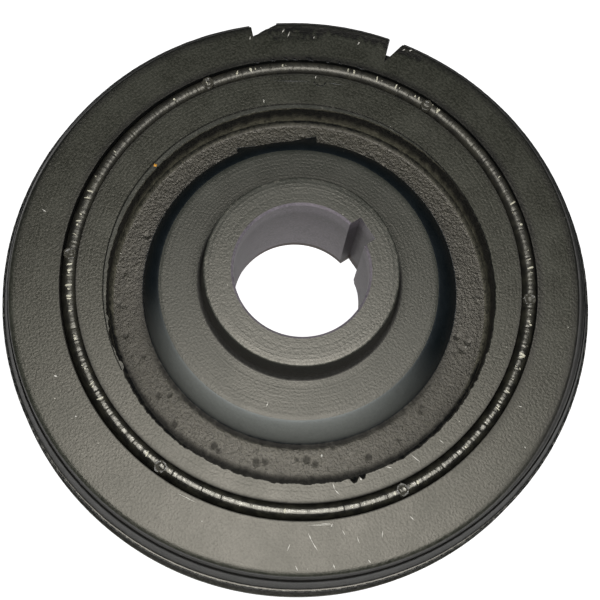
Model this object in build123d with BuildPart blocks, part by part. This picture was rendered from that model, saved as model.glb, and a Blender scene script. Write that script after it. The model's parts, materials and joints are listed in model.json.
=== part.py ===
from build123d import *
from math import cos, radians, sin, tan
import os

# Crankshaft harmonic balancer with one belt groove. Millimetres and degrees.
# The axis of the crankshaft is Z, z = 0 is the rear seat, the nose faces +Z and the keyway lies on +Y.
# Widths add up outwards from the bore, and depths down from the damper's front face.

# Hub along the axis
hub_length = 35.8  # rear seat to nose face
nose_height = 6.3  # nose face above the damper's front face
hub_face_drop = 3.1  # machined hub face below the front face
channel_depth = 10.0  # cast channel below the front face
web_thickness = 7.5

# Bore and keyway
bore_diameter = 34.6
bore_chamfer = 0.6
lead_in_relief = 0.6  # the rear end of the bore is this much wider all round
lead_in_length = 4.0
keyway_width = 6.8
keyway_depth = 3.1  # keyway floor beyond the bore wall

# Nose and machined hub face
nose_wall = 7.6  # bore to the nose's outer edge
nose_flare = 0.7  # the nose is wider at its foot
nose_chamfer = 0.6
nose_root_radius = 1.2
hub_face_width = 11.1
hub_face_edge_radius = 0.6

# Cast channel between hub face and rim. The core sat off centre when the hub was cast.
channel_bank_width = 5.3
channel_bank_bulge = 1.0  # the bank swells this much above a straight slope
channel_foot_radius = 1.0
channel_width = 8.0
channel_wall_radius = 3.6
core_shift = 2.6
core_shift_angle = -31.0
lip_cut_depth = 0.4  # shallow cut round the channel's lip, which meets the wall on one side only
lip_cut_width = 0.4  # outside the mean channel wall
lip_cut_shift = 2.1

# Hub rim, rear barrel and the recess behind the web
rim_wall = 7.4  # channel wall to rubber
rim_chamfer = 0.4
barrel_wall = 9.7
recess_rim_wall = 7.9
recess_draft = 5.0
recess_root_radius = 3.0

# Rubber between rim and inertia ring, with the stubs of its moulding gates
rubber_thickness = 4.2
rubber_recess = 0.9  # edge of the rubber below the faces
rubber_crown = 0.8  # the rubber bulges this much between its edges
gate_count = 6
gate_start_angle = 51.0
gate_diameter = 3.4
gate_height = 0.4  # top of a stub above the rubber's crown
gate_draft = 8.0

# Inertia ring: a front flange that widens backwards, the belt groove and a rear flange
ring_wall = 5.2  # rubber to the root of the groove
groove_depth = 11.0  # below the front flange's land
groove_angle = 34.0
groove_root_width = 2.0
groove_root_radius = 0.8
front_flange_rise = 5.0  # the land stands this far outside the front face's edge
front_flange_width = 11.8
land_width = 1.0
land_edge_radius = 0.4
scribe_drop = 5.0  # line turned round the front flange, below the front face
scribe_width = 0.7
scribe_depth = 0.5
face_edge_radius = 0.9
rear_flange_width = 3.9
rear_flange_rise = 0.9  # beyond the front flange's land
rear_flange_chamfer = 0.6
ring_edge_chamfer = 0.4

# Timing notches through the front flange: angle of the steep flank, angle of the root, angle
# where the slanting flank leaves the edge of the front face, and root below that edge
timing_notches = [
    (157.4, 157.7, 151.6, 3.2),
    (127.3, 126.2, 123.7, 5.9),
]
cut_overrun = 1.0  # how far a cutter runs past the surface it leaves

# Radii, from the bore outwards
bore_radius = bore_diameter / 2
lead_in_radius = bore_radius + lead_in_relief
keyway_floor = bore_radius + keyway_depth
nose_radius = bore_radius + nose_wall
nose_base_radius = nose_radius + nose_flare
hub_face_radius = nose_base_radius + hub_face_width
channel_foot = hub_face_radius + channel_bank_width
channel_radius = channel_foot + channel_width
rim_radius = channel_radius + rim_wall
barrel_radius = bore_radius + barrel_wall
recess_radius = rim_radius - recess_rim_wall
ring_bore_radius = rim_radius + rubber_thickness
groove_root = ring_bore_radius + ring_wall
land_radius = groove_root + groove_depth
face_radius = land_radius - front_flange_rise
rear_flange_radius = land_radius + rear_flange_rise

# Levels
groove_slope = tan(radians(groove_angle / 2))
groove_width = groove_root_width + 2 * groove_depth * groove_slope
front_level = hub_length - nose_height
hub_face_level = front_level - hub_face_drop
channel_floor = front_level - channel_depth
web_back = channel_floor - web_thickness
groove_front = front_level - front_flange_width
groove_middle = groove_front - groove_width / 2
back_level = groove_front - groove_width - rear_flange_width


def on_circle(radius, angle):
    return (radius * cos(radians(angle)), radius * sin(radians(angle)))


def ring_edges(part, radius, level):
    """Circular edges of one radius at one level."""
    circles = part.edges().filter_by(GeomType.CIRCLE)
    sized = circles.filter_by(lambda edge: abs(edge.radius - radius) < 0.01)
    return sized.filter_by(lambda edge: abs(edge.center().Z - level) < 0.01)


def groove_half_width(radius):
    return groove_root_width / 2 + (radius - groove_root) * groove_slope


# Hub: nose, machined face, web and barrel are turned about the axis
with BuildPart() as hub:
    recess_mouth = recess_radius + (web_back - back_level) * tan(radians(recess_draft))
    with BuildSketch(Plane.XZ) as hub_section:
        with BuildLine():
            Polyline(
                (0, 0),
                (barrel_radius, 0),
                (barrel_radius, web_back),
                (recess_radius, web_back),
                (recess_mouth, back_level),
                (rim_radius, back_level),
                (rim_radius, channel_floor),
                (channel_foot, channel_floor),
            )
            SagittaArc(
                (channel_foot, channel_floor),
                (hub_face_radius, hub_face_level),
                -channel_bank_bulge,
            )
            Polyline(
                (hub_face_radius, hub_face_level),
                (nose_base_radius, hub_face_level),
                (nose_radius, hub_length),
                (0, hub_length),
                (0, 0),
            )
        make_face()
    revolve(axis=Axis.Z)
    # The rim in front of the web, whose inner wall follows the shifted core
    with BuildSketch(Plane.XY.offset(channel_floor)):
        Circle(rim_radius)
        with Locations(on_circle(core_shift, core_shift_angle)):
            Circle(channel_radius, mode=Mode.SUBTRACT)
    extrude(amount=channel_depth)
    with BuildSketch(Plane.XY.offset(front_level)):
        with Locations(on_circle(lip_cut_shift, core_shift_angle)):
            Circle(channel_radius + lip_cut_width)
        Circle(channel_foot, mode=Mode.SUBTRACT)
    extrude(amount=-lip_cut_depth, mode=Mode.SUBTRACT)
    # Cast and turned corners
    fillet(ring_edges(hub, channel_radius, channel_floor), channel_wall_radius)
    fillet(ring_edges(hub, channel_foot, channel_floor), channel_foot_radius)
    fillet(ring_edges(hub, hub_face_radius, hub_face_level), hub_face_edge_radius)
    fillet(ring_edges(hub, nose_base_radius, hub_face_level), nose_root_radius)
    fillet(ring_edges(hub, barrel_radius, web_back), recess_root_radius)
    fillet(ring_edges(hub, recess_radius, web_back), recess_root_radius)
    chamfer(ring_edges(hub, nose_radius, hub_length), nose_chamfer)
    chamfer(ring_edges(hub, barrel_radius, 0), nose_chamfer)
    chamfer(ring_edges(hub, rim_radius, front_level), rim_chamfer)
    chamfer(ring_edges(hub, rim_radius, back_level), rim_chamfer)
    # Bore with a relieved lead-in at the rear, and the keyway along its whole length
    with BuildSketch():
        Circle(bore_radius)
    extrude(amount=hub_length, mode=Mode.SUBTRACT)
    with BuildSketch():
        Circle(lead_in_radius)
    extrude(amount=lead_in_length, mode=Mode.SUBTRACT)
    chamfer(ring_edges(hub, bore_radius, hub_length), bore_chamfer)
    with BuildSketch():
        with Locations((0, keyway_floor / 2)):
            Rectangle(keyway_width, keyway_floor)
    extrude(amount=hub_length, mode=Mode.SUBTRACT)

# Rubber: bonded to the rim inside and to the inertia ring outside, bulging at both ends
with BuildPart() as rubber_ring:
    rubber_front = front_level - rubber_recess
    rubber_back = back_level + rubber_recess
    rubber_middle = rim_radius + rubber_thickness / 2
    with BuildSketch(Plane.XZ) as rubber_section:
        with BuildLine():
            Line((rim_radius, rubber_back), (rim_radius, rubber_front))
            ThreePointArc(
                (rim_radius, rubber_front),
                (rubber_middle, rubber_front + rubber_crown),
                (ring_bore_radius, rubber_front),
            )
            Line((ring_bore_radius, rubber_front), (ring_bore_radius, rubber_back))
            ThreePointArc(
                (ring_bore_radius, rubber_back),
                (rubber_middle, rubber_back - rubber_crown),
                (rim_radius, rubber_back),
            )
        make_face()
    revolve(axis=Axis.Z)
    # Torn-off gate stubs stand on the crown of the front end
    with BuildSketch(Plane.XY.offset(rubber_front)):
        with PolarLocations(rubber_middle, gate_count, start_angle=gate_start_angle):
            Circle(gate_diameter / 2)
    extrude(amount=rubber_crown + gate_height, taper=gate_draft)

# Inertia ring: flat front face, front flange with its scribed line, belt groove, rear flange
with BuildPart() as inertia_ring:
    flange_lean = front_flange_rise / (front_flange_width - land_width)
    scribe_top = front_level - scribe_drop + scribe_width / 2
    scribe_bottom = front_level - scribe_drop - scribe_width / 2
    with BuildSketch(Plane.XZ) as ring_section:
        with BuildLine():
            Polyline(
                (ring_bore_radius, back_level),
                (rear_flange_radius, back_level),
                (rear_flange_radius, groove_middle - groove_half_width(rear_flange_radius)),
                (groove_root, groove_middle - groove_half_width(groove_root)),
                (groove_root, groove_middle + groove_half_width(groove_root)),
                (land_radius, groove_front),
                (land_radius, groove_front + land_width),
                (face_radius + (front_level - scribe_bottom) * flange_lean, scribe_bottom),
                (face_radius + scribe_drop * flange_lean - scribe_depth, front_level - scribe_drop),
                (face_radius + (front_level - scribe_top) * flange_lean, scribe_top),
                (face_radius, front_level),
                (ring_bore_radius, front_level),
                close=True,
            )
        make_face()
        corners = ring_section.vertices().group_by(Axis.X)
        face_edge = ring_section.vertices().group_by(Axis.Y)[-1].sort_by(Axis.X)[-1]
        chamfer(corners[-1], rear_flange_chamfer)
        fillet(corners[-2], land_edge_radius)
        fillet(corners[1], groove_root_radius)
        fillet(face_edge, face_edge_radius)
        chamfer(corners[0], ring_edge_chamfer)
    revolve(axis=Axis.Z)
    clear_radius = land_radius + cut_overrun
    for steep_angle, root_angle, slant_angle, root_drop in timing_notches:
        with BuildSketch(Plane.XY.offset(groove_middle)):
            with BuildLine():
                Polyline(
                    on_circle(clear_radius, steep_angle),
                    on_circle(face_radius - root_drop, root_angle),
                    on_circle(face_radius, slant_angle),
                    on_circle(clear_radius, slant_angle),
                    close=True,
                )
            make_face()
        extrude(amount=front_level - groove_middle + cut_overrun, mode=Mode.SUBTRACT)

os.makedirs("parts", exist_ok=True)
hub.part.label = "hub"
export_step(hub.part, "parts/hub.step")
rubber_ring.part.label = "rubber_ring"
export_step(rubber_ring.part, "parts/rubber_ring.step")
inertia_ring.part.label = "inertia_ring"
export_step(inertia_ring.part, "parts/inertia_ring.step")
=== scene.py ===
import bmesh
import bpy
import json
import math
from mathutils import Matrix, Vector, noise


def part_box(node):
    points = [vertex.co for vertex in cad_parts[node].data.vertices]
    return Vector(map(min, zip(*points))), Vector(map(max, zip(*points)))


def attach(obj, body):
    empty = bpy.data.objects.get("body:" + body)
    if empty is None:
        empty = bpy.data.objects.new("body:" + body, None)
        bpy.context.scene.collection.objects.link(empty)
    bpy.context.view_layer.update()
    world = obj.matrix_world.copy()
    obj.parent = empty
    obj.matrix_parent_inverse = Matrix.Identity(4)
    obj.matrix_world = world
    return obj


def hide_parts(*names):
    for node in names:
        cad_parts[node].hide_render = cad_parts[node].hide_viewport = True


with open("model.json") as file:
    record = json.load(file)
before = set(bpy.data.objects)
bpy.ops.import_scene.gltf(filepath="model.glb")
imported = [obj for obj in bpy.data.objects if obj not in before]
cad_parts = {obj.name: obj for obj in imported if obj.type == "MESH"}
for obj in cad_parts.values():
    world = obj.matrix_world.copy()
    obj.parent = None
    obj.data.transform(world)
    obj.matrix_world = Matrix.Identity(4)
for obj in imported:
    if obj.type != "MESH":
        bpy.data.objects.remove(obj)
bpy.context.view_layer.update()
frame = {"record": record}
scene = bpy.context.scene
mm = 0.001

# levels and radii that the solids already have, in millimetres
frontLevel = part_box("inertia_ring")[1].z / mm
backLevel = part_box("inertia_ring")[0].z / mm
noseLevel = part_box("hub")[1].z / mm
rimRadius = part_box("hub")[1].x / mm
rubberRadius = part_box("rubber_ring")[1].x / mm
boreMount = [m for m in frame["record"]["mounts"] if m["name"] == "bore"][0]
boreRadius = boreMount["dims"]["r_mm"]
print("frame loaded")

view = {
    "lens": 72.0,
    "distance": 308.9,
    "tilt": 18.14,
    "roll": 9.01,
    "nearSide": -41.97,  # bearing of the edge that is nearest to the camera
    "aimRight": 0.15,
    "aimDown": 9.33,
    "shiftY": -0.1,
}


def addObject(name, data):
    obj = bpy.data.objects.new(name, data)
    scene.collection.objects.link(obj)
    return obj


def addCamera(v):
    camData = bpy.data.cameras.new("viewCamera")
    camData.lens = v["lens"]
    camData.sensor_width = 36.0
    camData.shift_y = v["shiftY"]
    cam = addObject("viewCamera", camData)
    turn = (
        Matrix.Rotation(math.radians(v["nearSide"] + 90), 4, "Z")
        @ Matrix.Rotation(math.radians(v["tilt"]), 4, "X")
        @ Matrix.Rotation(math.radians(v["roll"]), 4, "Z")
    )
    offset = Vector((-v["aimRight"], v["aimDown"], v["distance"])) * mm
    centre = Vector((0, 0, frontLevel * mm))
    cam.matrix_world = Matrix.Translation(centre + turn.to_3x3() @ offset) @ turn
    scene.camera = cam
    return cam


cam = addCamera(view)
print("camera placed")


def fineNoise(x, y, z, size, octaves=4):
    # roughly -1 to 1, with features of the given size in millimetres
    return noise.fractal(Vector((x, y, z)) / size, 0.9, 2.1, octaves)


def roundNoise(c, s, radius, lane, size, octaves=3):
    # fine noise that runs round a circle; each lane gives a pattern of its own
    return fineNoise(c * radius, s * radius, lane, size, octaves)


def spaced(start, end, steps):
    # even values from start towards end, without the end itself
    return [start + (end - start) * i / steps for i in range(steps)]


def along(start, end, steps):
    # points from start towards end, without the end itself
    return [tuple(a + (b - a) * i / steps for a, b in zip(start, end)) for i in range(steps)]


def arcPoints(centre, radius, fromAngle, toAngle, steps):
    pts = []
    for i in range(steps):
        a = math.radians(fromAngle + (toAngle - fromAngle) * i / steps)
        pts.append((centre[0] + radius * math.cos(a), centre[1] + radius * math.sin(a)))
    return pts


def latheMesh(name, angles, loopAt):
    # loopAt gives the closed section at one bearing as rows of (radius, height, zone, wear and shading):
    # above zero rubbed bare iron and painted light, below zero painted shade and dark scars
    verts = []
    wear = []
    for a in angles:
        c = math.cos(math.radians(a))
        s = math.sin(math.radians(a))
        loop = loopAt(a, c, s)
        verts += [(r * c * mm, r * s * mm, z * mm) for r, z, zone, wornAndShaded in loop]
        wear += [wornAndShaded for r, z, zone, wornAndShaded in loop]
    zones = [zone for r, z, zone, wornAndShaded in loop]  # a row has one zone all round
    rows = len(zones)
    faces = []
    for i in range(len(angles)):
        here = i * rows
        after = (i + 1) % len(angles) * rows
        for k in range(rows):
            up = (k + 1) % rows
            faces.append((here + k, after + k, after + up, here + up))
    mesh = bpy.data.meshes.new(name)
    mesh.from_pydata(verts, [], faces)
    mesh.polygons.foreach_set("material_index", zones * len(angles))
    layer = mesh.attributes.new("wear", "FLOAT", "POINT")
    layer.data.foreach_set("value", wear)
    bm = bmesh.new()
    bm.from_mesh(mesh)
    bmesh.ops.recalc_face_normals(bm, faces=bm.faces)
    bm.to_mesh(mesh)
    bm.free()
    return addObject(name, mesh)


def smoothByAngle(obj, degrees):
    mesh = obj.data
    mesh.polygons.foreach_set("use_smooth", [True] * len(mesh.polygons))
    mesh.set_sharp_from_angle(angle=math.radians(degrees))


def evenAngles(count, extra):
    # even steps all round, with the extra ones put in and close neighbours left out
    step = 360 / count
    near = step * 0.3
    extra = sorted(a % 360 for a in extra)
    even = [i * step for i in range(count)]
    kept = [a for a in even if all(abs(a - e) > near for e in extra)]
    return sorted(kept + extra)


hubShape = {
    "steps": 760,
    "boreChamfer": 0.6,
    "leadIn": 0.6,
    "leadInLength": 4.0,
    "keywayWidth": 6.8,
    "keywayDepth": 3.1,
    "noseWall": 7.6,
    "noseFlare": 0.7,
    "noseChamfer": 0.6,
    "noseEdge": [(1, 0), (0.4, 0.12), (0.1, 0.4), (0, 1)],  # inwards and down, in shares of the chamfer
    "noseRoot": 1.2,
    "hubFaceDrop": 3.1,
    "hubFaceWidth": 11.1,
    "faceEdge": 0.25,
    "faceShift": 0.3,
    "faceBearing": 290.0,
    "bankWidth": 4.85,
    "bankRound": 0.62,
    "bankSteps": 14,
    "footShift": 0.45,
    "footBearing": 50.0,
    "channelDepth": 10.0,
    "channelWidth": 8.55,
    "floorSteps": 15,
    "wallFillet": 1.5,
    "wallSteps": 9,
    "coreShift": 2.75,
    "coreBearing": -25.0,
    "lipDepth": 0.4,
    "lipRadius": 50.15,
    "lipShift": 1.6,
    "lipBearing": -48.0,
    "lipFrom": 82.0,  # the lip's cut shows between these bearings
    "lipTo": 266.0,
    # lipCorner's first row is a line of painted shade
    "lipCorner": [(-0.03, 0.12, -0.9), (0.09, 0.0, 0.3)],  # past the cut, down, wear
    "rimEdge": 0.3,
    "rimChamfer": 0.4,
    "webThickness": 7.5,
    "barrelWall": 9.7,
    "recessRimWall": 7.9,
    "recessDraft": 5.0,
    "recessFillet": 3.0,
    # cast skin and its blow holes
    "castRough": 0.075,
    "coarse": (2.73, 0.55),  # size of the bumps and their share of the roughness
    "fine": (0.441, 0.75),
    "pitSpacing": 2.9,
    "pitShare": 0.13,
    "pitRadius": 0.14,
    "pitDepth": 0.36,
    "lipJag": 0.36,
    # painted shade: 0 is none, 1 is full dark; near is the side towards the camera, sides the two beside it
    "pitDirt": 0.65,
    "footGroove": 1.1,
    "grooveDepth": 0.6,
    "grooveDirt": 1.4,
    "grooveDirtNear": 1.6,
    "dirtReach": 3.3,
    "film": {"sides": 0.36, "foot": 0.3, "footSides": 0.35, "reach": 1.1},
    "wallDirt": {"depth": 8.6, "near": 1.2, "sides": 0.9, "uneven": 1.2, "fade": 3.2},
    "keyDirt": 0.55,
    "boreDirt": 0.42,
    "pits": [
        # bearing, radius and size of the larger blow holes
        (285.5, 48.6, 1.0), (299.5, 47.2, 1.1), (301.2, 47.9, 0.7), (313.5, 47.4, 1.0), (316.0, 46.7, 0.8),
        (329.2, 45.5, 1.1), (331.8, 46.8, 0.9), (348.5, 48.2, 1.0), (35.5, 46.0, 1.0), (38.5, 46.8, 1.0),
        (243.0, 47.5, 0.7), (253.5, 47.2, 0.9), (262.0, 44.6, 0.6), (278.0, 44.2, 0.7), (12.0, 45.1, 0.7),
    ],
    "footLumps": [(150.5, 140.0, 1.9), (160.0, 170.5, 1.5)],  # thin end, thick end, size
    "lipChips": [
        # bearing, half width and size of breaks in the lip
        (341.0, 1.05, 1.2), (343.4, 0.8, 0.8), (264.3, 1.3, -0.6), (256.0, 3.0, 0.35), (282.0, 16.0, 0.25),
    ],
}
noseFace, hubFace, cast, annulus, boreWall, leadInWall, hubBack, bank, noseSide, castWall = range(10)


def hubSizes(h):
    # the dictionary with the radii and levels that follow from it
    noseRadius = boreRadius + h["noseWall"]
    noseBase = noseRadius + h["noseFlare"]
    faceRadius = noseBase + h["hubFaceWidth"]
    footRadius = faceRadius + h["bankWidth"]
    floorLevel = frontLevel - h["channelDepth"]
    return h | {
        "noseRadius": noseRadius,
        "noseBase": noseBase,
        "faceRadius": faceRadius,
        "footRadius": footRadius,
        "wallRadius": footRadius + h["channelWidth"],
        "hubLevel": frontLevel - h["hubFaceDrop"],
        "floorLevel": floorLevel,
        "webBack": floorLevel - h["webThickness"],
        "barrelRadius": boreRadius + h["barrelWall"],
    }


def circleAt(mean, shift, bearing, angle):
    # radius, from the axis, of a circle that sits off the axis
    turn = math.radians(angle - bearing)
    return shift * math.cos(turn) + math.sqrt(mean * mean - (shift * math.sin(turn)) ** 2)


def keywayRadius(h, angle):
    # the keyway's outline seen from the axis, or nothing outside it
    fromKey = abs((angle - 90 + 180) % 360 - 180)
    if fromKey > 45:
        return 0.0
    a = math.radians(fromKey)
    floor = (boreRadius + h["keywayDepth"]) / math.cos(a)
    wall = h["keywayWidth"] / 2 / max(math.sin(a), 1e-6)
    return min(floor, wall)


def keywayAngles(h):
    half = h["keywayWidth"] / 2
    floorCorner = math.degrees(math.atan(half / (boreRadius + h["keywayDepth"])))
    boreCorner = math.degrees(math.asin(half / boreRadius))
    frontCorner = math.degrees(math.asin(half / (boreRadius + h["boreChamfer"])))
    turns = [floorCorner, boreCorner, frontCorner]
    turns += spaced(floorCorner, boreCorner, 5)[1:]
    return [90 + t for t in turns] + [90 - t for t in turns]


def castPit(x, y, z, h):
    # small round blow holes, in the share of cells that pitShare gives
    spans, spots = noise.voronoi(Vector((x, y, z * 0.3)) / h["pitSpacing"])
    chance = noise.cell(spots[0] * 7.3)
    if chance > h["pitShare"]:
        return 0.0
    size = h["pitRadius"] + 0.5 * chance
    return max(0.0, 1 - (spans[0] / size) ** 2)


def largePit(x, y, h):
    deepest = 0.0
    for bearing, radius, size in h["pits"]:
        a = math.radians(bearing)
        away = math.hypot(x - radius * math.cos(a), y - radius * math.sin(a)) / size
        if away < 1.3:
            ragged = 0.35 * fineNoise(x, y, 5.0, 0.5, 2)
            deepest = max(deepest, min(1.0, 0.9 * (1 + 1.6 * ragged - away * away)))
    return deepest


def castShift(x, y, z, h):
    # height of the cast skin above its mean surface, with the blow holes taken out
    coarseSize, coarseShare = h["coarse"]
    fineSize, fineShare = h["fine"]
    coarse = fineNoise(x, y, z, coarseSize, 3)
    fine = fineNoise(x + 40, y, z, fineSize, 3)
    holes = max(castPit(x, y, z, h), largePit(x, y, h))
    return h["castRough"] * (coarseShare * coarse + fineShare * fine) - h["pitDepth"] * holes


def lumpAt(lumps, angle):
    # metal left at the foot of the bank, rising from a thin end to a blunt thick end
    for thin, thick, size in lumps:
        share = (angle - thin) / (thick - thin)
        if 0 < share <= 1:
            return size * share ** 1.3
    return 0.0


def chipAt(chips, angle):
    total = 0.0
    for bearing, half, size in chips:
        away = abs((angle - bearing + 180) % 360 - 180)
        if away < half:
            total += size * (1 - (away / half) ** 2) ** 0.4
    return total


def noseRows(h):
    # from the nose's rubbed edge down its side, with painted shade growing towards the foot and full in the
    # corner there
    chamfer = h["noseChamfer"]
    root = h["noseRoot"]
    edge = [
        (h["noseRadius"] - chamfer * inwards, noseLevel - chamfer * down)
        for inwards, down in h["noseEdge"]
    ]
    side = along(edge[-1], (h["noseBase"], h["hubLevel"] + root), 4)
    centre = (h["noseBase"] + root, h["hubLevel"] + root)
    rows = [(r, z, noseFace, 1.0) for r, z in edge[:-1]]
    rows += [(r, z, noseSide, -0.1 * i) for i, (r, z) in enumerate(side, 3)]
    return rows + [(r, z, noseSide, -0.9) for r, z in arcPoints(centre, root, 180, 270, 4)]


def bankPoints(h):
    # between a straight slope and a quarter of an ellipse
    inset = 0.1
    drop = 0.08
    steps = h["bankSteps"]
    width = h["footRadius"] - h["faceRadius"] + inset
    height = h["hubLevel"] - h["floorLevel"] - drop
    pts = []
    for i in range(1, steps + 1):
        turn = math.radians(90 * i / steps)
        out = (1 - h["bankRound"]) * i / steps + h["bankRound"] * math.sin(turn)
        down = (1 - h["bankRound"]) * i / steps + h["bankRound"] * (1 - math.cos(turn))
        pts.append((h["faceRadius"] - inset + width * out, h["hubLevel"] - drop - height * down))
    return pts


def rearRows(h):
    # rim, recess behind the web and barrel; the rim's edge beside the rubber carries painted shade
    barrel = h["barrelRadius"]
    webBack = h["webBack"]
    fillet = h["recessFillet"]
    chamfer = h["noseChamfer"]
    recess = rimRadius - h["recessRimWall"]
    mouth = recess + (webBack - backLevel) * math.tan(math.radians(h["recessDraft"]))
    rim = [(rimRadius, frontLevel), (rimRadius, frontLevel - 0.15)]
    rim += [(rimRadius, frontLevel - h["rimChamfer"]), (rimRadius, backLevel + h["rimChamfer"])]
    rest = [(rimRadius - h["rimChamfer"], backLevel)]
    rest += along((rimRadius - 1.2, backLevel), (mouth, backLevel), 2)
    rest += along((mouth, backLevel), (recess + 0.3, webBack - fillet), 2)
    rest += arcPoints((recess - fillet, webBack - fillet), fillet, 5, 90, 4)
    rest += along((recess - fillet, webBack), (barrel + fillet, webBack), 3)
    rest += arcPoints((barrel + fillet, webBack - fillet), fillet, 90, 180, 4)
    rest += along((barrel, webBack - fillet), (barrel, chamfer), 2)
    rest += along((barrel, chamfer), (barrel - chamfer, 0), 2)
    return [(r, z, hubBack, -0.9) for r, z in rim] + [(r, z, hubBack, 0.0) for r, z in rest]


def channelSpot(h, angle, c, s):
    # what changes round the channel, at one bearing; the lip is most ragged on the near side
    nearSide = math.cos(math.radians(angle - view["nearSide"]))
    near = max(0.0, nearSide)
    lump = lumpAt(h["footLumps"], angle)
    footShift = h["footShift"] * math.cos(math.radians(angle - h["footBearing"]))
    wall = circleAt(h["wallRadius"], h["coreShift"], h["coreBearing"], angle)
    jag = h["lipJag"] * (0.35 + 0.65 * (1 + nearSide) / 2)
    lip = 0.0
    if h["lipFrom"] < angle < h["lipTo"]:
        lip = circleAt(h["lipRadius"], h["lipShift"], h["lipBearing"], angle)
    return {
        "nearSide": nearSide,
        "near": near,
        "aside": 1 - nearSide * nearSide,
        "lump": lump,
        "footShift": footShift,
        "faceShift": h["faceShift"] * math.cos(math.radians(angle - h["faceBearing"])),
        "inner": h["footRadius"] + footShift + 0.12 + lump,
        "wall": wall,
        "lip": lip + 0.05 * roundNoise(c, s, 50, 9.0, 2.0),
        "wallJag": jag * roundNoise(c, s, 50, 3.0, 1.3, 5) + chipAt(h["lipChips"], angle),
        # where the painted shadow under the lip begins; it reaches further in on the near side
        "dirtFrom": wall - 0.3 - h["dirtReach"] * near + 0.35 * roundNoise(c, s, 48, 1.0, 1.5),
    }


def bankRows(h, pts, c, s, spot):
    rows = []
    last = h["bankSteps"] - 1
    for i, (r, z) in enumerate(pts):
        low = (i / last) ** 3
        push = 0.5 * castShift(r * c, r * s, z, h) * min(1, i / 6)
        shift = push + spot["lump"] * low + spot["faceShift"] * (1 - i / last) + spot["footShift"] * i / last
        # painted shade, growing towards the foot of the bank
        rows.append((r + shift, z + 0.5 * push, bank, -0.9 * low ** 3))
    return rows


def floorRows(h, c, s, spot):
    # a groove along the foot of the bank; painted shade lies in it, in the blow holes, under the lip on the
    # near side and thinly over the floor on the two sides
    film = h["film"]
    level = h["floorLevel"]
    inner = spot["inner"]
    outer = spot["wall"] - h["wallFillet"]
    groove = h["footGroove"] * (0.6 + 0.4 * spot["near"])
    grooveDirt = h["grooveDirt"] + h["grooveDirtNear"] * spot["near"]
    footDepth = 1 + 0.6 * roundNoise(c, s, 42, 7.0, 1.6)
    footShadeFilm = film["foot"] + film["footSides"] * spot["aside"]
    shares = [0, 0.03, 0.06, 0.1, 0.15, 0.2] + spaced(0.25, 1.0, h["floorSteps"])
    rows = []
    for share in shares:
        r = inner + (outer - inner) * share
        pit = max(castPit(r * c, r * s, level, h), largePit(r * c, r * s, h))
        hollow = max(0.0, 1 - abs((r - inner) / groove - 0.4) / 0.9)
        sink = h["grooveDepth"] * hollow * footDepth * spot["near"]
        shade = min(1.0, max(0.0, (r - spot["dirtFrom"]) / 1.6))
        thin = film["sides"] * spot["aside"] + footShadeFilm * math.exp(-(r - inner) / film["reach"])
        dirt = max(0.9 * min(h["pitDirt"], pit), min(1.0, grooveDirt * sink), shade, thin)
        rows.append((r, level + castShift(r * c, r * s, level, h) - sink, cast, -dirt))
    return rows


def filletRows(h, c, s, spot):
    fillet = h["wallFillet"]
    outer = spot["wall"] - fillet
    rows = []
    for r, z in arcPoints((outer, h["floorLevel"] + fillet), fillet, -90, 0, 5):
        push = castShift(r * c, r * s, z, h)
        lean = (r - outer) / fillet
        # painted shade in the corner, stronger on the far side
        corner = (0.6 - 0.4 * spot["nearSide"]) * (0.4 + 0.6 * lean)
        shade = min(1.0, max(corner, (r - spot["dirtFrom"]) / 1.2))
        zone = castWall if lean > 0 else cast
        rows.append((r - push * lean, z + push * (1 - lean), zone, -shade))
    return rows


def wallRows(h, c, s, spot):
    # the cast wall, with painted shade from the lip down to a depth that changes round the channel
    dark = h["wallDirt"]
    wall = spot["wall"]
    steps = h["wallSteps"]
    foot = h["floorLevel"] + h["wallFillet"]
    top = frontLevel - h["lipDepth"]
    depth = dark["depth"] + dark["near"] * spot["nearSide"] + dark["sides"] * spot["aside"]
    depth += dark["uneven"] * roundNoise(c, s, 48, 12.0, 2.0)
    rows = []
    for i, z in enumerate(spaced(foot, top, steps)):
        push = castShift(wall * c, wall * s, z, h)
        dirt = min(1.0, max(0.0, (depth - (frontLevel - z)) / dark["fade"]))
        rows.append((wall - push + spot["wallJag"] * i / steps, z, castWall, -dirt))
    return rows


def lipRows(h, spot):
    # ragged edge, the ledge of the turned cut, and the flat face of the rim
    top = frontLevel - h["lipDepth"]
    edge = spot["wall"] + spot["wallJag"]
    cut = max(edge, spot["lip"])
    rubbed = 0.9 * min(1.0, (cut - edge) / 0.4)
    rows = [(edge, top, hubFace, rubbed), (edge + (cut - edge) * 0.7, top, hubFace, rubbed)]
    # a thin line of painted shade along the edge of the cut
    rows.append((cut - 0.2, top, cast, -1.0))
    rows += [(cut + past, frontLevel - down, annulus, wornAndShaded) for past, down, wornAndShaded in h["lipCorner"]]
    end = rimRadius - h["rimEdge"]
    rows += [(r, frontLevel, annulus, 0.0) for r in spaced(cut + 0.07, end, 8)[1:]]
    # the face's last row takes a little painted shade at the rim's edge
    return rows + [(end, frontLevel, annulus, -0.3)]


def boreRows(h, angle):
    # from the rear seat through the lead-in and the bore, with painted shade growing towards the front and
    # in the keyway
    key = keywayRadius(h, angle)
    bore = max(boreRadius, key)
    wide = max(boreRadius + h["leadIn"], key)
    seat = h["barrelRadius"] - h["noseChamfer"]
    leadIn = h["leadInLength"]
    start = leadIn + 0.05
    end = noseLevel - h["boreChamfer"]
    keyDirt = h["keyDirt"] if key > boreRadius + 0.05 else 0.0
    rows = [(r, 0.0, hubBack, 0.0) for r in spaced(seat, wide, 2)]
    rows += [(wide, z, leadInWall, 0.0) for z in (0.0, leadIn / 2, leadIn)]
    for i, z in enumerate(spaced(start, end, 5)):
        rows.append((bore, z, boreWall, -max(keyDirt, h["boreDirt"] * (i / 4) ** 1.5)))
    return rows + [(bore, end, boreWall, 0.6)]


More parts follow.
